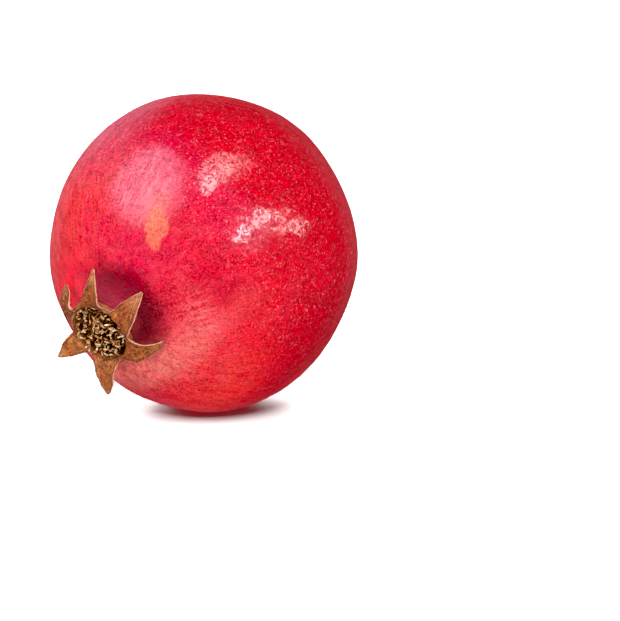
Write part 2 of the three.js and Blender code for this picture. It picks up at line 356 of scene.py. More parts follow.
def rest_on_floor(points):
    """Presses what is below the floor up to it, with a soft edge."""
    height = points[:, 2]
    points[:, 2] = (height + np.sqrt(height**2 + (FLOOR_SOFTNESS * MM) ** 2)) / 2
    return points


def fruit_centre(points):
    """Where the fruit's centre is in the part's frame: the place that makes these
    points, given about the centre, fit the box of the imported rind."""
    lying = points @ LYING_AXES * MM
    low, high = (np.array(corner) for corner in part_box("fruit_body"))
    middle = (low + high - lying.min(axis=0) - lying.max(axis=0)) / 2
    return np.array([middle[0], middle[1], high[2] - lying[:, 2].max()])


def build_rind():
    """The rind, and where the fruit's centre is in the part's frame. way is each point's
    direction from the centre. grain holds its angle from the crown in Z, and its turn
    round the fruit as a point on a circle in X and Y."""
    rings = rind_rings()
    points = rings.reshape(-1, 3)
    stem_end = [0, 0, -globe_radius(math.pi)]
    crown_end = crown_to_fruit(np.array([0, 0, -(CUP_DEPTH + CUP_HEIGHT) / 2]))
    points = np.vstack([points, stem_end, crown_end])
    centre = fruit_centre(points)

    reach = np.linalg.norm(points, axis=1)
    way = points / reach[:, None]
    angle = np.arccos(np.clip(way[:, 2], -1, 1))
    points = points + way * relief(points, angle)[:, None]
    flat = np.maximum(np.hypot(way[:, 0], way[:, 1]), 1e-6)
    grain = np.stack([way[:, 0] / flat, way[:, 1] / flat, angle], -1)

    placed = rest_on_floor(fruit_to_part(points, centre))
    faces = loft_faces(*rings.shape[:2])
    return make_piece("rind", placed, faces, {"way": way, "grain": grain}), centre


# --- crown --------------------------------------------------------------------


def midrib(sepal, steps):
    """Along a sepal, in the crown's frame: the share of its length, the place, and the
    directions to its side and out of its face."""
    azimuth = math.radians(sepal["azimuth"])
    outward = np.array([math.cos(azimuth), math.sin(azimuth), 0])
    tangent = np.cross(UP, outward)
    place = outward * SEPAL_ROOT_RADIUS
    for i in range(steps + 1):
        share = i / steps
        lean, sway, twist = (
            math.radians(mix(sepal[key], share)) for key in ("lean", "sway", "twist")
        )
        level = outward * math.cos(sway) + tangent * math.sin(sway)
        along = UP * math.cos(lean) + level * math.sin(lean)
        side = about(along, twist, np.cross(UP, level))
        face = np.cross(along, side)
        yield share, place, side, face
        place = place + along * sepal["length"] / steps


def blade_points(sepal, seed):
    """The sepal's closed loops of points, face first and then back, and what each
    point is: its share of the length, how far in from the edge it is, and its side,
    1 on the face and 0 on the back."""
    azimuth = math.radians(sepal["azimuth"])
    across = np.linspace(-1, 1, SEPAL_COLUMNS + 1)
    loops, shares, edges, sides = [], [], [], []
    for share, place, side, face in midrib(sepal, SEPAL_ROWS):
        ragged = 1 + 0.03 * math.sin(17 * share + seed) + 0.015 * math.sin(43 * share + 2 * seed)
        half = sepal["width"] / 2 * (1 - share ** sepal["taper"]) * ragged
        half += SEPAL_TIP_WIDTH / 2 * share
        free = place + np.outer(across * half, side)
        free += np.outer(sepal["cup"] * half * across**2, face)
        turn = azimuth + across * half / SEPAL_ROOT_RADIUS
        root = circle(SEPAL_ROOT_RADIUS, 0, turn) - circle(SEPAL_ROOT_RADIUS, 0, azimuth)
        middle = mix((root + place, free), smoothstep(0, SEPAL_ROOT_SHARE, share))
        groove = 0.12 * np.exp(-((across / 0.16) ** 2)) * math.sin(math.pi * share)
        thin = mix(SEPAL_THICKNESS, share) / 2 * (1 - 0.45 * across**4)
        top = middle + np.outer(thin - groove, face)
        back = middle - np.outer(thin, face)
        loops.append(np.vstack([top, back[::-1]]))
        inward = half - np.abs(across) * half
        shares += [share] * (2 * len(across))
        edges += [*inward, *inward[::-1]]
        sides += [1.0] * len(across) + [0.0] * len(across)
    return np.array(loops), np.array(shares), np.array(edges), np.array(sides)


def blade_faces():
    """Faces of a blade's loops, with its two ends closed by strips."""
    loop = 2 * (SEPAL_COLUMNS + 1)
    faces = loft_faces(SEPAL_ROWS + 1, loop, close_ends=False)
    last = SEPAL_ROWS * loop
    for j in range(SEPAL_COLUMNS):
        faces.append([loop - 1 - j, loop - 2 - j, j + 1, j])
        faces.append([last + j, last + j + 1, last + loop - 2 - j, last + loop - 1 - j])
    return faces


def cup_loops():
    """The crown's cup, as rings about its axis, with a soft uneven rim."""
    around = turn_once(CUP_COLUMNS)
    lip, top = (CUP_OUTER - CUP_INNER) / 2, 0.2
    section = [(CUP_OUTER - 0.6, -CUP_HEIGHT), (CUP_OUTER, -CUP_HEIGHT + 0.8)]
    for angle in np.linspace(0, math.pi, 9):
        radius = CUP_INNER + lip + lip * math.cos(angle)
        section.append((radius, top - lip + lip * math.sin(angle)))
    section += [(CUP_INNER, -CUP_DEPTH + 0.3), (CUP_INNER - 0.4, -CUP_DEPTH)]
    wave = 0.12 * np.sin(5 * around + 1) + 0.08 * np.sin(13 * around)
    return np.array([
        circle(radius, height + wave * smoothstep(-2, top, height), around)
        for radius, height in section
    ])


def voxel_remeshed(name, parts, voxel):
    """The points, normals and faces of one skin round several closed parts, each given
    as points and faces."""
    points, faces, start = [], [], 0
    for part_points, part_faces in parts:
        points.append(part_points)
        faces += [[start + corner for corner in face] for face in part_faces]
        start += len(part_points)
    rough = make_piece(name + "_rough", np.vstack(points), faces)
    modifier = rough.modifiers.new("skin", "REMESH")
    modifier.mode = "VOXEL"
    modifier.voxel_size = voxel
    smoother = rough.modifiers.new("smooth", "SMOOTH")
    smoother.factor = 0.5
    smoother.iterations = 2
    found = rough.evaluated_get(bpy.context.evaluated_depsgraph_get())
    mesh = bpy.data.meshes.new_from_object(found)
    bpy.data.objects.remove(rough)
    vertices, normals = np.empty(len(mesh.vertices) * 3), np.empty(len(mesh.vertices) * 3)
    mesh.vertices.foreach_get("co", vertices)
    mesh.vertices.foreach_get("normal", normals)
    faces = [list(polygon.vertices) for polygon in mesh.polygons]
    bpy.data.meshes.remove(mesh)
    return vertices.reshape(-1, 3), normals.reshape(-1, 3), faces


def nearest_rows(table, points):
    """For each point, the number of the table's row that is nearest to it."""
    tree = kdtree.KDTree(len(table))
    for index, point in enumerate(table):
        tree.insert(point, index)
    tree.balance()
    return np.array([tree.find(point)[1] for point in points])


def sepal_part(index, sepal):
    """A sepal's points and faces, and the crown's facts for each point: share, edge,
    side, the three parts of its tint, and pale."""
    loops, share, edge, side = blade_points(sepal, seed=1.7 * index)
    points = loops.reshape(-1, 3)
    tint = np.tile(sepal["tint"], (len(points), 1))
    pale = sepal["pale"] * smoothstep(0.45, 0.95, share)
    return points, blade_faces(), np.column_stack([share, edge, side, tint, pale])


def cup_part():
    """The same for the cup, which counts as the sepals' brown roots."""
    cup = cup_loops()
    points = np.vstack([cup.reshape(-1, 3), [0, 0, -CUP_HEIGHT], [0, 0, -CUP_DEPTH]])
    facts = np.tile([0.08, 0.0, 0.5, 0.4, 0.3, 0.45, 0.0], (len(points), 1))
    facts[:, 1] = 0.08 + 1.5 * smoothstep(0.0, 0.8, 0.2 - points[:, 2])
    return points, loft_faces(*cup.shape[:2]), facts


def build_crown(centre):
    """The sepals and the cup in one skin, a little fibrous, wrinkled and bent."""
    parts = [sepal_part(index, sepal) for index, sepal in enumerate(SEPALS)] + [cup_part()]
    solids = [(points, faces) for points, faces, _ in parts]
    vertices, normals, faces = voxel_remeshed("calyx", solids, CALYX_VOXEL)
    nearest = nearest_rows(np.vstack([points for points, _, _ in parts]), vertices)
    facts = np.vstack([facts for _, _, facts in parts])[nearest]
    share, edge, side, gold, pale = facts[:, [0, 1, 2, 3, 6]].T

    fibre = np.array([
        noise.noise(Vector((e * 2.2, s * 3.0 + g * 9, g * 4.0)))
        for e, s, g in zip(edge, share, gold)
    ])
    wrinkle = fractal(vertices, 1.1, 2, seed=2.0)
    bend = fractal(vertices, 4.0, 1, seed=6.0)
    vertices = vertices + normals * (0.05 * fibre + 0.07 * wrinkle + 0.12 * bend)[:, None]

    placed = fruit_to_part(crown_to_fruit(vertices), centre)
    return make_piece("calyx", placed, faces, {
        "share": share, "edge": edge, "side": side, "tint": facts[:, 3:6], "pale": pale,
    })


# --- stamens ------------------------------------------------------------------


def tube_rings(path, radii, sides, flatten=1.0):
    """Rings round a path, each square to it, and oval where flatten is less than 1."""
    path = np.asarray(path)
    steps = np.gradient(path, axis=0)
    rings = []
    side = unit(np.cross(steps[0], [0.31, 0.95, 0.11]))
    turn = turn_once(sides)
    for place, step, radius in zip(path, steps, radii):
        step = unit(step)
        side = unit(side - step * (side @ step))
        other = np.cross(step, side)
        ring = np.outer(np.cos(turn), side) + np.outer(np.sin(turn) * flatten, other)
        rings.append(place + radius * ring)
    return np.array(rings)


def curve(start, lean, bend, length, steps):
    """A path that starts along lean and is pulled by bend all the way."""
    points = [np.asarray(start, float)]
    way = unit(lean)
    for i in range(steps):
        way = unit(way + np.asarray(bend) * (i + 1) / steps)
        points.append(points[-1] + way * length / steps)
    return np.array(points)


class Bundle:
    """Gathers many small closed tubes in one mesh. tone is each point's brightness, and
    kind is 0 for a filament, 1 for an anther and 2 for the bed."""

    def __init__(self):
        self.points, self.faces, self.tone, self.kind, self.start = [], [], [], [], 0

    def add(self, rings, tone, kind):
        rows, sides = rings.shape[:2]
        ends = np.vstack([rings[0].mean(axis=0), rings[-1].mean(axis=0)])
        self.points.append(np.vstack([rings.reshape(-1, 3), ends]))
        self.faces += [[self.start + c for c in f] for f in loft_faces(rows, sides)]
        count = rows * sides + 2
        self.tone += [tone] * count
        self.kind += [kind] * count
        self.start += count


def in_hollow(root, size):
    """1 in the middle of the tuft's hollow and 0 well away from it."""
    reach = math.hypot(root[0] - TUFT_HOLLOW[0], root[1] - TUFT_HOLLOW[1])
    return math.exp(-((reach / size) ** 2))


def add_anther(bundle, place, way, draw):
    """A curled pod: a short fat bent tube, pinched at both ends."""
    length = draw.uniform(0.9, 1.6)
    side = unit([draw.uniform(-1, 1), draw.uniform(-1, 1), draw.uniform(-0.4, 0.4)])
    bend = side * draw.uniform(-2.2, 2.2)
    path = curve(np.asarray(place) - unit(way) * length / 2, way, bend, length, 6)
    girth = draw.uniform(0.18, 0.32)
    radii = girth * np.sin(np.linspace(0.35, math.pi - 0.35, len(path))) ** 0.6
    bundle.add(tube_rings(path, radii, 7, flatten=0.7), draw.uniform(0.55, 1), 1.0)


def add_stamen(bundle, root, draw):
    """A filament that rises, bends over and mostly ends in an anther. Near the rim it
    leans out and is longer."""
    reach = math.hypot(root[0], root[1])
    out = unit([root[0], root[1], 0.001])
    away = np.array([draw.gauss(0, 1), draw.gauss(0, 1), 0])
    spread = smoothstep(4.5, 7.2, reach)
    lean = UP * 1.2 + away * 0.4 + out * 1.1 * spread
    bend = away * 0.5 + np.array([0, 0, draw.uniform(-0.8, 0.1)]) - out * 0.1 * spread
    length = draw.uniform(2.1, 3.3) * (1 - 0.65 * in_hollow(root, 1.9)) * (1 + 0.3 * spread)
    path = kept_in_cup(curve(root, lean, bend, length, 7))
    radius = draw.uniform(0.09, 0.15)
    radii = np.linspace(radius * 1.3, radius * 0.8, len(path))
    bundle.add(tube_rings(path, radii, 5), draw.uniform(0.15, 0.9), 0.0)
    if draw.random() < ANTHER_ODDS:
        add_anther(bundle, path[-1], path[-1] - path[-3], draw)


def kept_in_cup(path):
    """Draws a path in where it would run through the cup's wall or out over its rim."""
    reach = np.hypot(path[:, 0], path[:, 1])
    limit = np.where(path[:, 2] < 0.3, CUP_INNER - 0.2, CUP_INNER + 0.1)
    path[:, :2] *= np.minimum(1, limit / np.maximum(reach, 1e-6))[:, None]
    path[:, 2] = np.minimum(path[:, 2], mix(TUFT_TOPS, (reach / CUP_INNER) ** 4))
    return path


def build_stamens(centre):
    """The tuft, with its roots spread over the bed like a sunflower's seeds, and painted
    shade that darkens it towards the bed."""
    draw = random.Random(11)
    bundle = Bundle()
    golden_angle = math.pi * (3 - math.sqrt(5))
    for i in range(STAMEN_COUNT):
        radius = TUFT_RADIUS * math.sqrt((i + 0.5) / STAMEN_COUNT)
        angle = i * golden_angle + draw.uniform(-0.3, 0.3)
        root = circle(radius, TUFT_BED, angle)
        if draw.random() > 0.85 * in_hollow(root, 1.4):
            add_stamen(bundle, root, draw)
    # The bed: a disc under the stamens, painted near black as shade.
    bed = [(7.6, -0.05), (7.65, 0.2), (7.3, 0.4), (3.5, 0.45)]
    around = turn_once(48)
    rings = np.array([circle(radius, TUFT_BED + rise, around) for radius, rise in bed])
    bundle.add(rings, 0.0, 2.0)
    points = np.vstack(bundle.points)
    # Painted shade: each stamen's tone falls towards the bed, where the tuft shades itself.
    light = smoothstep(TUFT_BED + 0.3, 0.0, points[:, 2])
    tone = np.array(bundle.tone) * mix((0.15, 1.0), light)
    placed = fruit_to_part(crown_to_fruit(points), centre)
    return make_piece("stamens", placed, bundle.faces, {"tone": tone, "kind": bundle.kind})


# --- stem ---------------------------------------------------------------------


def build_stem(centre):
    """The clipped stem, ribbed along its length, with a slightly sunken cut end. share is
    0 at its foot, 1 at the cut's rim and 2 in the cut's middle."""
    foot = -globe_radius(math.pi) - STEM_GAP
    around = turn_once(STEM_COLUMNS)
    ribs = 0.10 * np.sin(9 * around) + 0.06 * np.sin(23 * around + 1) + 0.12 * np.sin(2 * around)
    rings, shares = [], []
    for share in np.linspace(0, 1, STEM_ROWS + 1):
        waist = 1 - 0.10 * math.sin(math.pi * share) + 0.08 * share**3
        rounding = 1 - 0.12 * max(0, (share - 0.93) / 0.07) ** 2
        radius = STEM_RADIUS * waist * rounding + ribs
        rings.append(circle(radius, foot - STEM_LENGTH * share, around))
        shares += [share] * STEM_COLUMNS
    rim = rings[-1]
    for inner in (0.8, 0.5, 0.25):
        rings.append(rim * [inner, inner, 1] + [0, 0, 0.25 * (1 - inner)])
        shares += [2 - inner] * STEM_COLUMNS
    ends = [[0, 0, foot], [0, 0, foot - STEM_LENGTH + 0.3]]
    points = np.vstack([*rings, ends])
    points += 0.05 * fractal(points, 0.8, 1)[:, None] * unit([1, 1, 0.4])
    faces = [face[::-1] for face in loft_faces(len(rings), STEM_COLUMNS)]
    facts = {"share": shares + [0.0, 2.0], "fibre": points * [1, 1, 0.12]}
    return make_piece("stem", fruit_to_part(points, centre), faces, facts)


# --- shader nodes -------------------------------------------------------------


class Shader:
    """A material with a Principled surface, and short ways to add nodes to it."""

    def __init__(self, name):
        self.material = bpy.data.materials.new(name)
        self.material.use_nodes = True
        self.tree = self.material.node_tree
        self.surface = self.tree.nodes["Principled BSDF"]

    def feed(self, socket, value):
        if isinstance(value, bpy.types.NodeSocket):
            self.tree.links.new(value, socket)
        else:
            socket.default_value = value

    def add(self, kind, inputs=None, **settings):
        made = self.tree.nodes.new("ShaderNode" + kind)
        for key, value in settings.items():
            setattr(made, key, value)
        for key, value in (inputs or {}).items():
            self.feed(made.inputs[key], value)
        return made

    def set(self, **values):
        names = {"color": "Base Color", "roughness": "Roughness", "normal": "Normal",
                 "specular": "Specular IOR Level"}
        for key, value in values.items():
            self.feed(self.surface.inputs[names[key]], value)

    def attribute(self, name, output="Fac"):
        return self.add("Attribute", attribute_name=name).outputs[output]

    def math(self, operation, *values, clamp=False):
        inputs = dict(enumerate(values))
        return self.add("Math", inputs, operation=operation, use_clamp=clamp).outputs[0]

    def times(self, *values):
        return functools.reduce(lambda a, b: self.math("MULTIPLY", a, b), values)

    def inverse(self, value, clamp=False):
        return self.math("SUBTRACT", 1.0, value, clamp=clamp)

    def scaled(self, value, factor, offset):
        return self.math("MULTIPLY_ADD", value, factor, offset)

    def ridges(self, *noise_settings):
        """0 along fine winding lines, and more away from them."""
        return self.math("ABSOLUTE", self.math("SUBTRACT", self.noise(*noise_settings), 0.5))

    def vector(self, operation, *values):
        made = self.add("VectorMath", dict(enumerate(values)), operation=operation)
        return made.outputs["Value" if operation == "DOT_PRODUCT" else "Vector"]

    def step(self, value, low, high):
        """0 below low and 1 above high, smooth between; the other way if low is more."""
        inputs = {0: value, 1: low, 2: high, 3: 0.0, 4: 1.0}
        if low > high:
            inputs = {0: value, 1: high, 2: low, 3: 1.0, 4: 0.0}
        return self.add("MapRange", inputs, interpolation_type="SMOOTHSTEP").outputs[0]

    def blend(self, factor, first, second):
        return self.add("Mix", {0: factor, 6: first, 7: second}, data_type="RGBA").outputs[2]

    def paint(self, color, shade, *amounts):
        """color with an sRGB shade over it, as thick as the product of the amounts."""
        return self.blend(self.times(*amounts), color, linear(*shade))

    def coats(self, color, value, table, *amounts):
        """color with each row's shade over it. A row is low, high, shade and amount: the
        shade sets in where value passes from low to high."""
        for low, high, shade, amount in table:
            color = self.paint(color, shade, self.step(value, low, high), *amounts, amount)
        return color

    def noise(self, where, scale, detail=2.0, roughness=0.5, distortion=0.0):
        inputs = {"Vector": where, "Scale": scale, "Detail": detail,
                  "Roughness": roughness, "Distortion": distortion}
        return self.add("TexNoise", inputs).outputs[0]

    def cells(self, where, scale, output="Distance", **settings):
        inputs = {"Vector": where, "Scale": scale}
        return self.add("TexVoronoi", inputs, **settings).outputs[output]

    def bump(self, height, distance, under=None):
        inputs = {"Distance": distance, "Height": height}
        if under is not None:
            inputs["Normal"] = under
        return self.add("Bump", inputs).outputs[0]

    def place(self):
        return self.add("TexCoord").outputs["Object"]


def meridian_way(angle, around, turn=0.0):
    """The unit direction at these angles in the fruit's frame, and two directions
    square to it: away from the crown and round the fruit, turned by turn."""
    t, p = math.radians(angle), math.radians(around)
    out = np.array([math.sin(t) * math.cos(p), math.sin(t) * math.sin(p), math.cos(t)])
    away = np.array([math.cos(t) * math.cos(p), math.cos(t) * math.sin(p), -math.sin(t)])
    rounding = np.cross(out, away)
    c, s = math.cos(math.radians(turn)), math.sin(math.radians(turn))
    return out, away * c + rounding * s, rounding * c - away * s


def patch(s, way, oval, ragged):
    """How much of a spot shows: its strength inside, and 0 outside."""
    out, away, rounding = meridian_way(*oval["at"], oval["turn"])
    long, wide = (1 / math.sin(math.radians(size)) for size in oval["size"])
    u = s.vector("DOT_PRODUCT", way, tuple(away * long))
    v = s.vector("DOT_PRODUCT", way, tuple(rounding * wide))
    square = s.math("ADD", s.times(u, u), s.times(v, v))
    reach = s.math("ADD", s.math("SQRT", square), s.times(ragged, oval["ragged"]))
    inside = s.step(reach, 1 + oval["soft"], 1 - oval["soft"])
    facing = s.step(s.vector("DOT_PRODUCT", way, tuple(out)), 0.0, 0.2)
    return s.times(inside, facing, oval["strength"])


# --- materials ----------------------------------------------------------------


def spot(at, size, soft, strength, color=None, ragged=None, turn=0):
    """A soft oval on the rind. at is its middle, as the angle from the crown and the angle
    round the fruit, size is its reach away from the crown and round the fruit, and turn
    turns it, all in degrees. soft is how wide its edge fades, ragged is how far the edge
    wanders (as far as soft, if it isn't given), and strength is how much of it shows."""
    return dict(at=at, size=size, soft=soft, strength=strength, color=color,
                ragged=soft if ragged is None else ragged, turn=turn)


# Broad tints, some of them painted light: a painted sheen, a painted highlight haze, and skin
# painted brighter where the crown shades it.
RIND_TINTS_AND_PAINTED_LIGHT = [
    spot((98, 40), (42, 50), 0.5, 0.75, (190, 0, 20)),
    spot((96, -34), (34, 40), 0.5, 0.75, (188, 2, 22)),
    spot((36, 132), (27, 34), 0.5, 0.85, (216, 6, 32)),
    spot((46, -42), (17, 34), 0.6, 0.9, (236, 12, 30)),
    spot((34, 74), (13, 19), 0.6, 0.8, (204, 0, 66)),
    # Partly painted light: the pale bloom beside the crown, made extra bright as if lit from
    # below.
    spot((20, -66), (8, 36), 0.6, 0.9, (255, 126, 112)),
    # Painted light: brighter red between two sepals, over skin that they shade.
    spot((22, 152), (8, 16), 0.6, 0.85, (255, 24, 62)),
    spot((68, 84), (9, 18), 0.6, 0.7, (196, 0, 66)),
    spot((80, 106), (24, 12), 0.6, 0.8, (192, 56, 92)),
    spot((64, 61), (9, 6), 0.6, 0.8, (190, 0, 60)),
    # Painted reflection, in part: the pink sheen of the window's gloss and a paler cloud in it,
    # laid over a pale blush.
    spot((56, 76), (13.5, 12.5), 0.3, 0.85, (218, 86, 116), ragged=0.8),
    spot((52, 70), (9, 8), 0.7, 0.6, (228, 112, 124)),
    spot((62, 45), (9, 13), 0.7, 0.6, (204, 6, 68)),
    # Painted highlight haze: pale pink over the lower-right highlight.
    spot((68, 31), (9, 6), 0.6, 0.35, (200, 60, 92)),
    spot((126, -130), (26, 32), 0.7, 0.7, (206, 24, 34)),
    spot((118, 168), (24, 26), 0.7, 0.7, (188, 0, 48)),
    spot((148, 60), (12, 18), 0.8, 0.6, (206, 44, 60)),
    spot((180, 0), (24, 24), 0.8, 0.5, (204, 34, 38)),
]
# Where the skin is mottled pink, and where it is brushed with pale streaks; some streak rows are
# painted sheen or painted light.
RIND_MOTTLES = [
    spot((34, 4), (18, 30), 0.8, 0.6),
    spot((50, 42), (14, 24), 0.8, 0.35),
    spot((32, 84), (12, 22), 0.7, 0.3),
    spot((32, -70), (18, 44), 0.7, 0.6),
    spot((46, 128), (20, 34), 0.7, 0.4),
]
RIND_STREAKS_AND_PAINTED_LIGHT = [
    spot((42, 126), (28, 34), 0.6, 0.55, (240, 84, 74)),
    spot((80, 106), (26, 13), 0.6, 0.5, (226, 112, 128)),
    # Painted reflection: pale streaks in the painted sheen.
    spot((56, 77), (13, 13), 0.4, 0.5, (240, 146, 164)),
    spot((36, -12), (16, 30), 0.6, 0.25, (236, 92, 98)),
    spot((38, 6), (7, 10), 0.6, 0.4, (244, 134, 124)),
    # Partly painted light: the bloom's pale streaks, made brighter as if lit from below.
    spot((22, -64), (10, 34), 0.6, 0.5, (246, 150, 134)),
    spot((48, -50), (14, 26), 0.6, 0.45, (240, 92, 60)),
    spot((130, -150), (26, 30), 0.7, 0.4, (236, 92, 70)),
    spot((180, 0), (30, 30), 0.8, 0.5, (232, 118, 88)),
]
# Darker skin round the stem and in one deep red spot, and painted shade on the neck.
RIND_DARKS_AND_PAINTED_SHADE = [
    spot((180, 0), (5.5, 5.5), 0.7, 0.8, (128, 66, 44)),
    spot((47, 18), (8, 10), 0.7, 0.65, (186, 0, 40)),
    # Painted shade, in part: the neck darkened where the crown shades it and the neck hollows,
    # over skin that is darker there; the next row eases it paler between two sepals.
    spot((12, 45), (14, 18), 0.3, 0.95, (114, 0, 24)),
    spot((15, 78), (6, 14), 0.6, 0.5, (164, 10, 56)),
]
# The pale orange scar.
RIND_PEACH = [
    spot((49, 65), (5.0, 3.0), 0.6, 0.6, (232, 124, 116), ragged=1.0),
    spot((44.4, 60.5), (5.2, 3.5), 0.2, 0.9, (232, 122, 92), ragged=1.0, turn=30),
    spot((40.2, 57.0), (3.4, 2.0), 0.3, 0.85, (226, 110, 86), ragged=0.8, turn=40),
]
# Shades that follow a noise, as rows for Shader.coats.
RIND_CLOUDS = [(0.48, 0.60, (232, 62, 82), 0.9), (0.47, 0.36, (184, 0, 38), 0.9)]
RIND_CLUMPS = [(0.46, 0.62, (234, 68, 84), 0.8), (0.48, 0.34, (172, 0, 34), 0.7)]
RIND_GRAIN = [(0.50, 0.64, (242, 34, 58), 0.3), (0.50, 0.36, (128, 0, 22), 0.4)]
RIND_PINK_GRAIN = [(0.48, 0.60, (244, 92, 104), 0.18)]
RIND_DIMMED = [(0.50, 0.36, (140, 0, 28), 0.25)]
CROWN_BLOTCHES = [(0.48, 0.62, (178, 96, 28), 0.6)]
CROWN_STAINS = [(0.50, 0.62, (98, 38, 20), 0.65)]
CROWN_VEINS = [(0.50, 0.62, (206, 132, 58), 0.35), (0.48, 0.36, (84, 32, 16), 0.45)]
CROWN_FIBRES = [(0.48, 0.34, (58, 20, 10), 0.85), (0.52, 0.66, (206, 128, 64), 0.4)]
CROWN_GRAINS = [(0.56, 0.68, (232, 172, 112), 0.35)]


def strongest(s, way, ovals, ragged):
    masks = [patch(s, way, oval, ragged) for oval in ovals]
    return functools.reduce(lambda a, b: s.math("MAXIMUM", a, b), masks)


def tinted(s, color, way, ovals, ragged, *amounts):
    """color with each spot's own colour over it."""
    for oval in ovals:
        color = s.paint(color, oval["color"], *amounts, patch(s, way, oval, ragged))
    return color


def rind_color(s, way, grain, place):
    """The skin's colour, from its broad tints to its finest specks, with painted sheen, painted
    highlight haze, painted shade on the neck and painted light by the crown.
    """
    angle = s.add("SeparateXYZ", {0: grain}).outputs[2]
    far = s.step(angle, math.radians(40), math.radians(66))
    cloud = s.noise(place, 60.0, 3.0, 0.6)
    clump = s.noise(place, 260.0, 3.0, 0.65, 0.6)
    grit = s.noise(place, 2200.0, 1.0, 0.5)
    streak = s.noise(s.vector("MULTIPLY", grain, (110.0, 110.0, 15.0)), 1.0, 3.0, 0.62)
    brush = s.noise(s.vector("MULTIPLY", grain, (26.0, 26.0, 5.0)), 1.0, 3.0, 0.62)
    ragged = s.math("ADD", s.math("ADD", cloud, clump), brush)
    ragged = s.math("SUBTRACT", s.times(ragged, 1.3), 1.95)
    uneven = s.math("ADD", grit, s.times(s.math("SUBTRACT", clump, 0.5), 0.6))

    color = s.blend(s.step(cloud, 0.36, 0.64), linear(184, 0, 32), linear(202, 2, 42))
    # Broad tints, among them painted sheen, painted highlight haze and painted light.
    color = tinted(s, color, way, RIND_TINTS_AND_PAINTED_LIGHT, ragged)

    # Pink clouds, and grains in loose clumps, all over the skin and thickest in the mottles.
    mottle = s.math("ADD", strongest(s, way, RIND_MOTTLES, ragged), 0.10, clamp=True)
    clouded = s.math("SUBTRACT", s.math("ADD", mottle, 0.05), s.times(far, 0.1), clamp=True)
    color = s.coats(color, s.noise(place, 120.0, 3.0, 0.65, 0.8), RIND_CLOUDS, clouded)
    color = s.coats(color, uneven, RIND_CLUMPS, mottle)
    color = s.coats(color, s.noise(place, 800.0, 2.0, 0.6), RIND_DIMMED)

    # Pale streaks that run out from the crown, with painted sheen streaks and painted light by
    # the crown among them.
    combed = s.math("ADD", s.times(streak, 0.5), s.times(brush, 0.5))
    dashes = s.step(s.math("ADD", s.times(combed, 0.8), s.times(uneven, 0.2)), 0.44, 0.58)
    color = tinted(s, color, way, RIND_STREAKS_AND_PAINTED_LIGHT, ragged, dashes)

    # Darker skin, and painted shade on the neck.
    color = tinted(s, color, way, RIND_DARKS_AND_PAINTED_SHADE, ragged)
    color = tinted(s, color, way, RIND_PEACH, ragged)
    scar = strongest(s, way, RIND_PEACH, ragged)
    color = s.paint(color, (204, 58, 62), scar, s.step(uneven, 0.52, 0.38), 0.7)
    fine = s.noise(place, 1800.0, 1.0, 0.5)
    color = s.coats(color, fine, RIND_GRAIN, s.scaled(far, 0.75, 0.25))
    color = s.coats(color, fine, RIND_PINK_GRAIN, mottle)
    return s.paint(color, (250, 128, 132), rind_specks(s, far, place))


def rind_specks(s, far, place):
    """Small pale dots and a few short hooked lines, thickest away from the crown."""
    bright = s.step(s.cells(place, 1250.0, "Color"), 0.15, 0.90)
    dot = s.times(s.step(s.cells(place, 1250.0), 0.27, 0.15), bright)
    line = s.step(s.ridges(place, 520.0, 1.0, 0.5, 0.9), 0.024, 0.008)
    hook = s.times(line, s.step(s.noise(place, 760.0, 0.0), 0.56, 0.62), 0.5)
    return s.times(s.math("MAXIMUM", dot, hook), s.scaled(far, 0.66, 0.12))


def rind_material():
    """Orange-peel skin: shallow pits, and a net of fine creases that break the gloss. The
    neck is dull, and so is what is seen edge on."""
    s = Shader("rind skin")
    way, grain = s.attribute("way", "Vector"), s.attribute("grain", "Vector")
    place = s.place()
    color = rind_color(s, way, grain, place)

    whole = s.inverse(s.step(s.noise(place, 380.0, 1.0), 0.36, 0.44))
    swirl = s.step(s.ridges(place, 480.0, 3.0, 0.6, 1.2), 0.010, 0.045)
    smooth = s.math("MAXIMUM", swirl, whole)
    normal = s.bump(s.cells(place, 480.0, feature="SMOOTH_F1"), 0.00007)
    normal = s.bump(smooth, 0.00014, under=normal)
    normal = s.bump(s.noise(place, 1100.0, 3.0, 0.6), 0.00002, under=normal)

    angle = s.add("SeparateXYZ", {0: grain}).outputs[2]
    neck = s.step(angle, math.radians(24), math.radians(15))
    rough = s.scaled(s.noise(place, 240.0, 2.0), 0.10, 0.06)
    rough = s.scaled(s.inverse(smooth), 0.1, rough)
    rough = s.scaled(neck, 0.7, rough)
    grazing = s.step(s.add("LayerWeight", {"Blend": 0.5}).outputs["Facing"], 0.55, 0.95)
    rough = s.scaled(grazing, 0.45, rough)
    s.set(color=color, roughness=rough, specular=0.29, normal=normal)
    return s.material


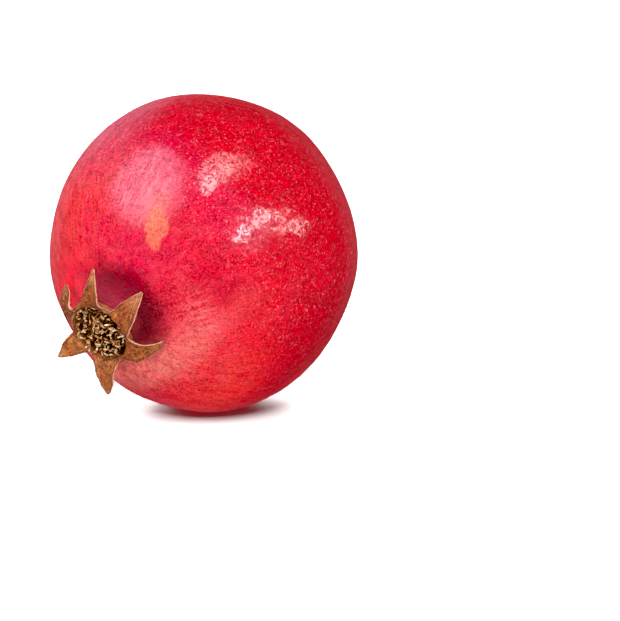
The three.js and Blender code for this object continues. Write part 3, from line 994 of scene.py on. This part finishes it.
def crown_material():
    """Dry, woody and veined, with dark skin inside a pale rim, a plainer back, and golden sepals
    paler at their roots, partly as painted light.
    """
    s = Shader("dry crown")
    place = s.place()
    share, edge, side, pale = (s.attribute(n) for n in ("share", "edge", "side", "pale"))
    gold, red, dark = s.add("SeparateXYZ", {0: s.attribute("tint", "Vector")}).outputs
    blotch = s.noise(place, 330.0, 3.0, 0.6)
    fibre = s.noise(place, 1500.0, 4.0, 0.7)
    across, along, offset = s.times(edge, 2.6), s.times(share, 3.5), s.times(gold, 9.0)
    strand = s.add("CombineXYZ", {0: across, 1: along, 2: offset}).outputs[0]

    color = s.blend(gold, linear(120, 44, 14), linear(174, 86, 22))
    color = s.paint(color, (146, 56, 32), red, 0.8)
    # Partly painted light: golden sepals paler orange at their roots, as if lit there.
    color = s.paint(color, (206, 126, 66), s.step(share, 0.5, 0.15), s.step(gold, 0.5, 0.8), 0.85)
    color = s.coats(color, blotch, CROWN_BLOTCHES)
    color = s.coats(color, s.noise(place, 240.0, 2.0, 0.6, 0.5), CROWN_STAINS)
    color = s.paint(color, (86, 34, 28), dark, 0.8)
    color = s.paint(color, (222, 152, 106), pale)
    color = s.coats(color, s.noise(strand, 1.0, 3.0, 0.6), CROWN_VEINS)
    color = s.coats(color, fibre, CROWN_FIBRES)
    color = s.coats(color, s.noise(place, 2600.0, 2.0, 0.6), CROWN_GRAINS)
    color = s.paint(color, (150, 78, 40), s.inverse(side, clamp=True), 0.5)
    inward = s.math("ADD", edge, s.scaled(blotch, 0.5, -0.25))
    color = s.paint(color, (76, 30, 16), s.step(inward, 0.85, 0.30), side, 0.5)
    rim = s.times(s.step(inward, 0.24, 0.06), s.step(share, 0.02, 0.16), 0.85)
    color = s.paint(color, (226, 162, 124), rim)

    normal = s.bump(blotch, 0.0002, under=s.bump(fibre, 0.00018))
    s.set(color=color, roughness=0.66, specular=0.3, normal=normal)
    return s.material


def stamen_material():
    """Straw from nearly black to cream by its tone, which carries painted shade deep in the tuft,
    on a bed painted near black as shade.
    """
    s = Shader("dried stamens")
    ramp = s.add("ValToRGB", {0: s.attribute("tone")})
    stops = ramp.color_ramp.elements
    stops[0].color, stops[1].color = linear(26, 12, 6), linear(252, 236, 200)
    for position, color in ((0.3, (92, 48, 22)), (0.55, (182, 116, 62)), (0.75, (230, 184, 128))):
        stops.new(position).color = linear(*color)
    grainy = s.noise(s.place(), 2600.0, 2.0)
    color = s.paint(ramp.outputs[0], (74, 40, 20), s.step(grainy, 0.48, 0.32), 0.7)
    # Painted shade: the bed under the stamens is near black, for the shade between them.
    color = s.paint(color, (14, 6, 3), s.step(s.attribute("kind"), 1.4, 1.8))
    s.set(color=color, roughness=0.6, specular=0.3, normal=s.bump(grainy, 0.00006))
    return s.material


def stem_material():
    """Grey-brown fibres, and a paler cut with brown pith."""
    s = Shader("clipped stem")
    fibre = s.noise(s.attribute("fibre", "Vector"), 2.6, 3.0, 0.65)
    share = s.attribute("share")
    color = s.blend(s.step(fibre, 0.35, 0.65), linear(84, 54, 34), linear(150, 112, 74))
    color = s.paint(color, (186, 152, 108), s.step(share, 1.02, 1.12), 0.8)
    color = s.paint(color, (120, 84, 52), s.step(share, 1.55, 1.75), 0.7)
    s.set(color=color, roughness=0.8, specular=0.2, normal=s.bump(fibre, 0.0002))
    return s.material


def floor_material():
    s = Shader("pale floor")
    s.set(color=(0.45, 0.45, 0.45, 1.0), roughness=0.9, specular=0.0)
    return s.material


# --- stage --------------------------------------------------------------------


def camera_axes():
    """The camera's right, up and back directions."""
    a, e = CAMERA_AZIMUTH, CAMERA_ELEVATION
    right = np.array([math.cos(a), math.sin(a), 0])
    back = np.array([math.sin(a) * math.cos(e), -math.cos(a) * math.cos(e), math.sin(e)])
    return right, np.cross(back, right), back


def seen_from_camera(right, up, back):
    """A direction in the part's frame from one in the camera's."""
    axes = camera_axes()
    return unit(right * axes[0] + up * axes[1] + back * axes[2])


def build_camera(centre):
    right, up, back = camera_axes()
    data = bpy.data.cameras.new("camera")
    data.lens, data.sensor_width = CAMERA_LENS, CAMERA_SENSOR
    data.clip_start, data.clip_end = 0.01, 50
    camera = bpy.data.objects.new("camera", data)
    bpy.context.scene.collection.objects.link(camera)
    bpy.context.scene.camera = camera
    pixel = CAMERA_DISTANCE * CAMERA_SENSOR / CAMERA_LENS / max(PICTURE)
    aside = (PICTURE[0] / 2 - CENTRE_IN_PICTURE[0]) * pixel
    below = (PICTURE[1] / 2 - CENTRE_IN_PICTURE[1]) * pixel
    camera.location = centre + back * CAMERA_DISTANCE + right * aside - up * below
    camera.rotation_mode = "QUATERNION"
    camera.rotation_quaternion = Vector(-back).to_track_quat("-Z", "Y")


def add_softbox(lit, centre, name, kind, way, along, size, radiance, color=(1, 1, 1)):
    """A glowing panel that faces the fruit, and lights one collection."""
    way, along = seen_from_camera(*way), seen_from_camera(*along)
    across = unit(np.cross(way, along))
    times = FLOOR_LIGHT_TIMES if kind == "floor" else 1
    width, height = (side * times for side in size)
    data = bpy.data.lights.new(name, "AREA")
    data.shape = "ELLIPSE" if kind == "glint" else "RECTANGLE"
    area = width * height * (math.pi / 4 if kind == "glint" else 1)
    data.size, data.size_y = width, height
    data.color = color
    data.energy = math.pi * radiance * area
    light = bpy.data.objects.new(name, data)
    bpy.context.scene.collection.objects.link(light)
    turn = Matrix([np.cross(across, way), across, way]).transposed()
    place = Vector(centre + way * LIGHT_DISTANCE * times)
    light.matrix_world = Matrix.Translation(place) @ turn.to_4x4()
    light.light_linking.receiver_collection = lit["floor" if kind == "floor" else "fruit"]
    light.visible_diffuse = kind != "glint"
    light.visible_glossy = kind != "fill"


def gathered(name, pieces):
    group = bpy.data.collections.new(name)
    for piece in pieces:
        group.objects.link(piece)
    return group


def build_lights(centre, fruit, floor):
    lit = {"fruit": gathered("lit_fruit", fruit), "floor": gathered("lit_floor", [floor])}
    for row in SOFTBOXES:
        add_softbox(lit, centre, *row)


def build_world():
    """A dark studio that grows paler towards the floor."""
    world = bpy.data.worlds.new("studio")
    bpy.context.scene.world = world
    world.cycles_visibility.glossy = False
    world.use_nodes = True
    tree = world.node_tree
    where = tree.nodes.new("ShaderNodeTexCoord")
    height = tree.nodes.new("ShaderNodeSeparateXYZ")
    fade = tree.nodes.new("ShaderNodeMapRange")
    fade.interpolation_type = "SMOOTHSTEP"
    for index, value in enumerate((*WORLD_FADE, WORLD_LOW, WORLD_HIGH), start=1):
        fade.inputs[index].default_value = value
    tree.links.new(where.outputs["Generated"], height.inputs[0])
    tree.links.new(height.outputs["Z"], fade.inputs[0])
    tree.links.new(fade.outputs[0], tree.nodes["Background"].inputs["Strength"])
    tree.nodes["Background"].inputs["Color"].default_value = WORLD_COLOR


def build_floor():
    """A pale floor that the fruit's gloss and shading don't pick up."""
    corners = FLOOR_REACH * np.array([(-1, -1, 0), (1, -1, 0), (1, 1, 0), (-1, 1, 0)])
    floor = make_piece("floor", corners, [[0, 1, 2, 3]])
    floor.data.materials.append(floor_material())
    floor.visible_glossy = floor.visible_diffuse = floor.visible_shadow = False
    return floor


# --- the scene ----------------------------------------------------------------

rind, centre = build_rind()
crown, stamens, stem = build_crown(centre), build_stamens(centre), build_stem(centre)
dress(rind, rind_material(), "fruit_body")
dress(crown, crown_material(), "calyx_crown")
dress(stamens, stamen_material(), "stamen_tuft")
dress(stem, stem_material(), "stem_stub")

build_camera(centre)
build_world()
build_lights(centre, [rind, crown, stamens, stem], build_floor())
view = bpy.context.scene.view_settings
view.view_transform = "Standard"
view.use_curve_mapping = True
view.curve_mapping.black_level = (BLACK_LEVEL, BLACK_LEVEL, BLACK_LEVEL)
view.curve_mapping.update()
